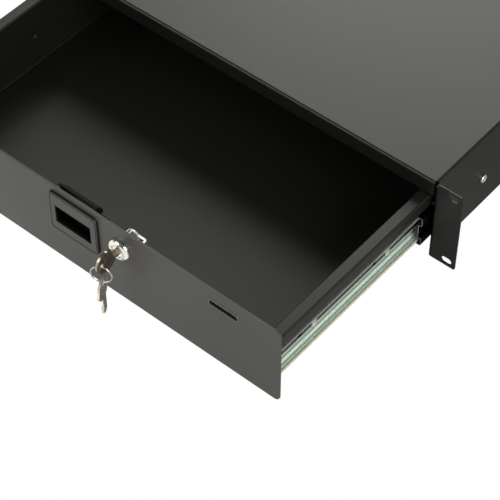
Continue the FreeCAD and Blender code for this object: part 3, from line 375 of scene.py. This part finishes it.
# A screw's radii, its head's height and its shank's end. The places and levels on the
# head are shares of these, and the edges of the cross are shares of the recess's sizes.
SCREW_HEAD = 3.9 * MM
SCREW_SHANK = 1.9 * MM
SCREW_HEIGHT = 2.4 * MM
SCREW_FOOT = -2.6 * MM
SCREW_TURN = 48
HEAD_RINGS = 11
HEAD_CENTRE, HEAD_FLAT, HEAD_SHOULDER = 0.02, 0.86, 0.97
HEAD_CROWN = 0.22
SHOULDER_LEVEL, BRIM_LEVEL = 0.62, 0.45
RECESS_HALF = 0.42 * MM
RECESS_REACH = 2.0 * MM
RECESS_DEPTH = 1.3 * MM
ARM_INNER, ARM_OUTER = 0.7, 1.3
REACH_INNER = 0.85
ROW_SCREWS = 3


def mesh_object(name, points, faces, finish, smooth=True):
    """An object at the origin from points in metres and faces as rows of point numbers."""
    mesh = bpy.data.meshes.new(name)
    mesh.from_pydata(points.tolist(), [], faces)
    mesh.polygons.foreach_set("use_smooth", np.full(len(mesh.polygons), smooth))
    mesh.materials.append(finish)
    mesh.update()
    made = bpy.data.objects.new(name, mesh)
    bpy.context.scene.collection.objects.link(made)
    return made


def surface(grid, closed_along=False):
    """Points and faces of a closed surface from a grid of points. Its columns run round
    it. Its rows run along it and end in flat caps, or meet when it is closed along. A
    surface with a negative volume is turned the right way out."""
    rows, columns = grid.shape[:2]
    number = np.arange(rows * columns).reshape(rows, columns)
    after = np.roll(number, -1, 0)
    here = number if closed_along else number[:-1]
    ahead = after if closed_along else after[:-1]
    quads = np.stack([here, np.roll(here, -1, 1), np.roll(ahead, -1, 1), ahead], -1)
    quads = quads.reshape(-1, 4)
    points = grid.reshape(-1, 3)
    a, b, c, d = (points[quads[:, corner]] - points.mean(0) for corner in range(4))
    volume = (np.cross(a, b) * c).sum() + (np.cross(a, c) * d).sum()
    caps = [] if closed_along else [number[0][::-1].tolist(), number[-1].tolist()]
    faces = quads.tolist() + caps
    return points, faces if volume > 0 else [face[::-1] for face in faces]


def fit(piece, body):
    """Makes a piece move with a body."""
    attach(piece, body)
    return piece


def smooth_step(value, low, high):
    """0 below low, 1 above high, and 3t^2 - 2t^3 between them."""
    share = np.clip((value - low) / (high - low), 0, 1)
    return share * share * (3 - 2 * share)


def whole_turn(count):
    """This many angles spread evenly over a whole turn."""
    return np.linspace(0, 2 * np.pi, count, endpoint=False)


def plate_layers(centre, size, corner, front, insets, rises):
    """Rounded-rectangle outlines one in front of another. Each point is the corner's
    radius, less the inset, from the nearest corner's centre, at an angle that runs once
    round the plate. Rises are measured forward from the front."""
    angle = (np.arange(OUTLINE_POINTS) + 0.5) / OUTLINE_POINTS * 2 * np.pi
    reach = corner - np.array(insets)[:, None]
    middle = np.array(size) / 2 - corner
    x = centre[0] + middle[0] * np.sign(np.cos(angle)) + reach * np.cos(angle)
    z = centre[1] + middle[1] * np.sign(np.sin(angle)) + reach * np.sin(angle)
    y = np.broadcast_to(front - np.array(rises)[:, None], x.shape)
    return np.stack([x, y, z], -1)


def make_badge():
    """Bare badge: a bright stadium frame on the panel with a black enamel face in it."""
    shape = BADGE_CENTRE, BADGE_SIZE, BADGE_SIZE[1] / 2, PANEL_FACE
    edge = surface(plate_layers(*shape, EDGE_INSETS, EDGE_RISES))
    fit(mesh_object("badge_edge", *edge, BADGE_EDGE), "drawer")
    face = surface(plate_layers(*shape, ENAMEL_INSETS, ENAMEL_RISES))
    fit(mesh_object("badge_face", *face, BADGE_ENAMEL), "drawer")


def make_bezel_bead():
    """Raised bead round the bezel: half an ellipse carried round its outline."""
    low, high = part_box("latch_housing")
    swing = np.linspace(0, np.pi, BEAD_POINTS)
    insets = BEAD_INSET + BEAD_WIDTH / 2 * (1 - np.cos(swing))
    rises = BEAD_RISE * np.sin(swing) + SKIN
    middle = ((low.x + high.x) / 2, high.z - BEZEL_SIZE[1] / 2)
    shape = middle, BEZEL_SIZE, BEZEL_CORNER, low.y
    bead = surface(plate_layers(*shape, insets, rises), closed_along=True)
    fit(mesh_object("bezel_bead", *bead, BEAD_MOULD), "drawer")


def make_lock_dome():
    """Domed rim of the lock: a profile carried round the lock's axis. Its front is an
    ellipse from the bore out to the rim, its back a cone that lies inside the solid."""
    low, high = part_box("lock_plug")
    centre_x, centre_z = (low.x + high.x) / 2, (low.z + high.z) / 2
    turn = np.linspace(0, np.pi / 2, DOME_POINTS)
    radius = LOCK_BORE + (LOCK_RIM - LOCK_BORE) * np.sin(turn)
    front = DOME_SKIRT + (LOCK_RISE - DOME_SKIRT) * np.cos(turn) ** DOME_FULLNESS
    radius = np.concatenate([[LOCK_BORE, LOCK_BORE], radius, [LOCK_RIM, LOCK_RIM]])
    front = np.concatenate([DOME_BORE_RISES, front, DOME_RIM_RISES])
    angle = whole_turn(DOME_TURN)
    x = centre_x + radius[:, None] * np.cos(angle)
    z = centre_z + radius[:, None] * np.sin(angle)
    y = np.broadcast_to(PANEL_FACE - front[:, None], x.shape)
    dome = surface(np.stack([x, y, z], -1), closed_along=True)
    fit(mesh_object("lock_dome", *dome, CHROME), "drawer")


def make_split_ring():
    """Split ring: an oval wire section carried twice round a circle. It lies on one side
    for the first turn, steps across to the other, and lies there for the second."""
    low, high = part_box("key_ring")
    centre = (low + high) / 2
    radius = (high.z - low.z) / 2 - WIRE_HIGH
    ends = RING_CROSSING + RING_GAP
    along = np.linspace(ends, 4 * np.pi - ends, RING_STATIONS)[:, None]
    step = smooth_step(along, 2 * np.pi - RING_CROSSING, 2 * np.pi + RING_CROSSING)
    section = whole_turn(WIRE_POINTS)[None, :]
    out = radius + WIRE_HIGH * np.cos(section)
    across = WIRE_WIDE * (2 * step - 1) + WIRE_WIDE * np.sin(section)
    flat_x = out * np.sin(along)
    x = centre.x + flat_x * math.cos(RING_YAW) - across * math.sin(RING_YAW)
    y = centre.y + flat_x * math.sin(RING_YAW) + across * math.cos(RING_YAW)
    z = centre.z + out * np.cos(along)
    ring = mesh_object("split_ring", *surface(np.stack([x, y, z], -1)), RING_STEEL)
    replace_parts(fit(ring, "ring"), "key_ring")


def make_latch_grip():
    """Ribbed strip on top of the latch bolt: a flat section carried along the bolt, its
    top raised and lowered by a sine of the rib spacing and drawn in at both ends."""
    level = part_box("latch_slider")[1].z
    stations = np.linspace(0, GRIP_LENGTH, GRIP_STATIONS)
    rib = 0.5 + 0.5 * np.cos(2 * np.pi * stations / GRIP_PITCH)
    height = GRIP_VALLEY + (1 - GRIP_VALLEY) * rib[:, None]
    near_end = np.minimum(stations, GRIP_LENGTH - stations)
    inset = GRIP_DRAWN_IN * (1 - smooth_step(near_end, 0, GRIP_END))[:, None]
    y = BOLT_FRONT + SECTION_ACROSS * GRIP_DEPTH + inset * SECTION_INWARD
    z = level + SKIN + SECTION_UP * GRIP_THICK * height - inset * (SECTION_UP > 0)
    x = np.broadcast_to((BOLT_RIGHT - GRIP_LENGTH + stations)[:, None], z.shape)
    grip = surface(np.stack([x, y, np.maximum(z, level + SKIN)], -1))
    fit(mesh_object("latch_grip", *grip, BLACK_MOULD), "latch")


def screw_grid(place, side):
    """One pan-head screw: a profile carried round an axis along X. Its top sinks into a
    cross, by a step of the distance to the nearer arm's middle line."""
    top = np.linspace(HEAD_CENTRE, HEAD_FLAT, HEAD_RINGS)
    brim = [HEAD_SHOULDER * SCREW_HEAD, SCREW_HEAD, SCREW_HEAD, SCREW_SHANK, SCREW_SHANK]
    sides = [SHOULDER_LEVEL * SCREW_HEIGHT, BRIM_LEVEL * SCREW_HEIGHT, 0, 0, SCREW_FOOT]
    radius = np.concatenate([top * SCREW_HEAD, brim])[:, None]
    level = np.concatenate([SCREW_HEIGHT * (1 - HEAD_CROWN * top ** 2), sides])[:, None]
    y = radius * np.cos(whole_turn(SCREW_TURN))
    z = radius * np.sin(whole_turn(SCREW_TURN))
    arm = 1 - smooth_step(np.minimum(abs(y), abs(z)), ARM_INNER * RECESS_HALF,
                          ARM_OUTER * RECESS_HALF)
    reach = 1 - smooth_step(np.hypot(y, z), REACH_INNER * RECESS_REACH, RECESS_REACH)
    on_top = (np.arange(len(radius)) < HEAD_RINGS)[:, None]
    x = (level - RECESS_DEPTH * arm * reach * on_top) * side
    return np.stack([x + place[0], y + place[1], z + place[2]], -1)


def make_screws(node, side, finish, places):
    """Cross-recessed screws of one row as one piece, in place of the plain solids."""
    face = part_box(node)[1 if side > 0 else 0].x - SCREW_HEIGHT * side
    points, faces, count = [], [], 0
    for along, level in places:
        screw, screw_faces = surface(screw_grid((face, along, level), side))
        points.append(screw)
        faces += [[corner + count for corner in loop] for loop in screw_faces]
        count += len(screw)
    made = mesh_object(f"{node}_recessed", np.concatenate(points), faces, finish)
    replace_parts(fit(made, "chassis"), node)


def make_side_screws():
    """The level row along each wall's slide, and the upright pair behind it."""
    for side_name, side_sign in SIDES:
        low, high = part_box(f"outer_screws_{side_name}")
        row = np.linspace(low.y + SCREW_HEAD, high.y - SCREW_HEAD, ROW_SCREWS)
        make_screws(f"outer_screws_{side_name}", side_sign, ZINC_SCREW,
                    [(along, (low.z + high.z) / 2) for along in row])
        low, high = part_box(f"rear_screws_{side_name}")
        pair = (low.z + SCREW_HEAD, high.z - SCREW_HEAD)
        make_screws(f"rear_screws_{side_name}", side_sign, BLACK_SCREW,
                    [((low.y + high.y) / 2, level) for level in pair])


make_badge()
make_bezel_bead()
make_lock_dome()
make_split_ring()
make_latch_grip()
make_side_screws()


# --- studio ---------------------------------------------------------------------------

# Where the camera stands, and the directions of its right, up and back.
CAMERA_PLACE = (0.7375, -0.8583, 1.1227)
CAMERA_RIGHT = (0.76690, 0.64176, 0.0)
CAMERA_UP = (-0.48753, 0.58259, 0.65044)
CAMERA_BACK = (0.41743, -0.49883, 0.75964)
CAMERA_LENS = 131.2
CLIP_NEAR, CLIP_FAR = 0.05, 30.0
# The floor: how far it lies below the drawer and reaches, and the grey of its card.
FLOOR_DROP = 0.30
FLOOR_REACH = 6.0
CARD_GREY = 0.80
# What mirrors see of the floor: white in front and grey behind, where each of them ends,
# and the turn of the line between them; then what is left in a painted shadow under the
# drawer, and the shadow's scale, shift and soft edge. This painted light and shade is seen
# only in reflections. Of the sky: how dim it is overhead, and from what height.
FRONT_WHITE, FRONT_END = 1.0, -0.35
BACK_GREY, BACK_END = 0.25, 0.45
FLOOR_TURN = math.radians(-75)
SHADE_LEFT = 0.03
SHADE_SCALE = (2.8, 2.8, 0.0)
SHADE_SHIFT = (-0.1, 0.15, 0.0)
SHADE_EDGE = 0.45
SKY_OVERHEAD = 0.12
OVERHEAD_FROM = 0.4
# What lights matt faces: the sky's strength, the tint of all the light, and the lamps,
# each with its name, place, aim, size in metres and watts.
SKY_FILL = 0.40
STUDIO_TINT = "fffef8"
LAMPS = (("key_light", (-1.08, -1.98, 1.3), (0, -0.05, 0), 1.4, 18),
         ("back_light", (-1.1, 1.95, 1.5), (0, -0.05, 0), 1.6, 39),
         ("side_light", (1.5, -0.5, 0.9), (0.1, 0.0, 0), 1.0, 24))


def backed(tree, kind, level, lit):
    """A background that is plain white to the camera. Mirrors and glass see it at a level
    of their own, with the studio's tint. Every other ray finds the lit shader."""
    rays = add(tree, "ShaderNodeLightPath", {}).outputs
    seen = compute(tree, "MAXIMUM", rays["Is Glossy Ray"], rays["Is Transmission Ray"])
    plain = compute(tree, "MAXIMUM", rays["Is Camera Ray"], seen)
    strength = add(tree, "ShaderNodeMix", {"data_type": "FLOAT", 0: seen, 2: 1.0, 3: level})
    tint = mixed_colour(tree, seen, grey(1.0), srgb(STUDIO_TINT))
    white = add(tree, kind, {"Color": tint, "Strength": strength.outputs[0]})
    return add(tree, "ShaderNodeMixShader", {0: plain, 1: lit.outputs[0],
                                             2: white.outputs[0]}).outputs[0]


def floor_material():
    """Pale floor: takes the light as a matt card. It is plain white to the camera. To
    mirrors and glass it is painted white in front of the drawer and darker beyond it, with a
    painted shadow under the drawer."""
    made, tree, place = material("pale_floor")
    turned = add(tree, "ShaderNodeMapping", {"Vector": place,
                                             "Rotation": (0, 0, FLOOR_TURN)})
    along = component(tree, turned.outputs["Vector"], "X")
    share = between(tree, along, FRONT_END, BACK_END, FRONT_WHITE, BACK_GREY)
    # Painted shadow under the drawer, for mirrors and glass only.
    under = add(tree, "ShaderNodeMapping", {"Vector": place, "Scale": SHADE_SCALE,
                                            "Location": SHADE_SHIFT})
    shade = add(tree, "ShaderNodeTexGradient", {"gradient_type": "SPHERICAL",
                                                "Vector": under.outputs["Vector"]})
    left = between(tree, shade.outputs["Fac"], 0.0, SHADE_EDGE, 1.0, SHADE_LEFT)
    card = add(tree, "ShaderNodeBsdfDiffuse", {"Color": grey(CARD_GREY)})
    mix = backed(tree, "ShaderNodeEmission", compute(tree, "MULTIPLY", share, left), card)
    add(tree, "ShaderNodeOutputMaterial", {"Surface": mix})
    return made


def make_floor():
    """A level square floor below the drawer."""
    low = cad_box[0].z - FLOOR_DROP
    corners = np.array([(-1, -1, 0), (1, -1, 0), (1, 1, 0), (-1, 1, 0)]) * FLOOR_REACH
    floor = mesh_object("floor", corners + (0, 0, low), [(0, 1, 2, 3)], floor_material(),
                        smooth=False)


def make_world():
    """Soft even sky, white to the camera. Mirrors see it white round the horizon and
    dimmer overhead."""
    world = bpy.data.worlds.new("studio")
    bpy.context.scene.world = world
    world.use_nodes = True
    tree = world.node_tree
    tree.nodes.clear()
    heading = add(tree, "ShaderNodeTexCoord", {}).outputs["Generated"]
    rise = component(tree, heading, "Z")
    dimmed = between(tree, rise, 0.0, OVERHEAD_FROM, 1.0, SKY_OVERHEAD)
    soft = add(tree, "ShaderNodeBackground", {"Color": grey(1.0), "Strength": SKY_FILL})
    mix = backed(tree, "ShaderNodeBackground", dimmed, soft)
    add(tree, "ShaderNodeOutputWorld", {"Surface": mix})


def soft_box(name, place, aim, size, watts):
    """A square soft box at a place, turned to a point."""
    lamp = bpy.data.lights.new(name, "AREA")
    lamp.shape = "SQUARE"
    lamp.size = size
    lamp.energy = watts
    lamp.color = srgb(STUDIO_TINT)[:3]
    made = bpy.data.objects.new(name, lamp)
    bpy.context.scene.collection.objects.link(made)
    made.location = place
    made.rotation_mode = "QUATERNION"
    made.rotation_quaternion = (Vector(aim) - Vector(place)).to_track_quat("-Z", "Y")


def make_camera():
    """The camera, from its place and its three directions."""
    data = bpy.data.cameras.new("camera")
    data.lens = CAMERA_LENS
    data.clip_start = CLIP_NEAR
    data.clip_end = CLIP_FAR
    made = bpy.data.objects.new("camera", data)
    bpy.context.scene.collection.objects.link(made)
    turn = Matrix((CAMERA_RIGHT, CAMERA_UP, CAMERA_BACK)).transposed()
    made.matrix_world = Matrix.Translation(CAMERA_PLACE) @ turn.to_4x4()
    bpy.context.scene.camera = made


make_floor()
make_world()
for lamp in LAMPS:
    soft_box(*lamp)
make_camera()
bpy.context.scene.view_settings.view_transform = "Standard"
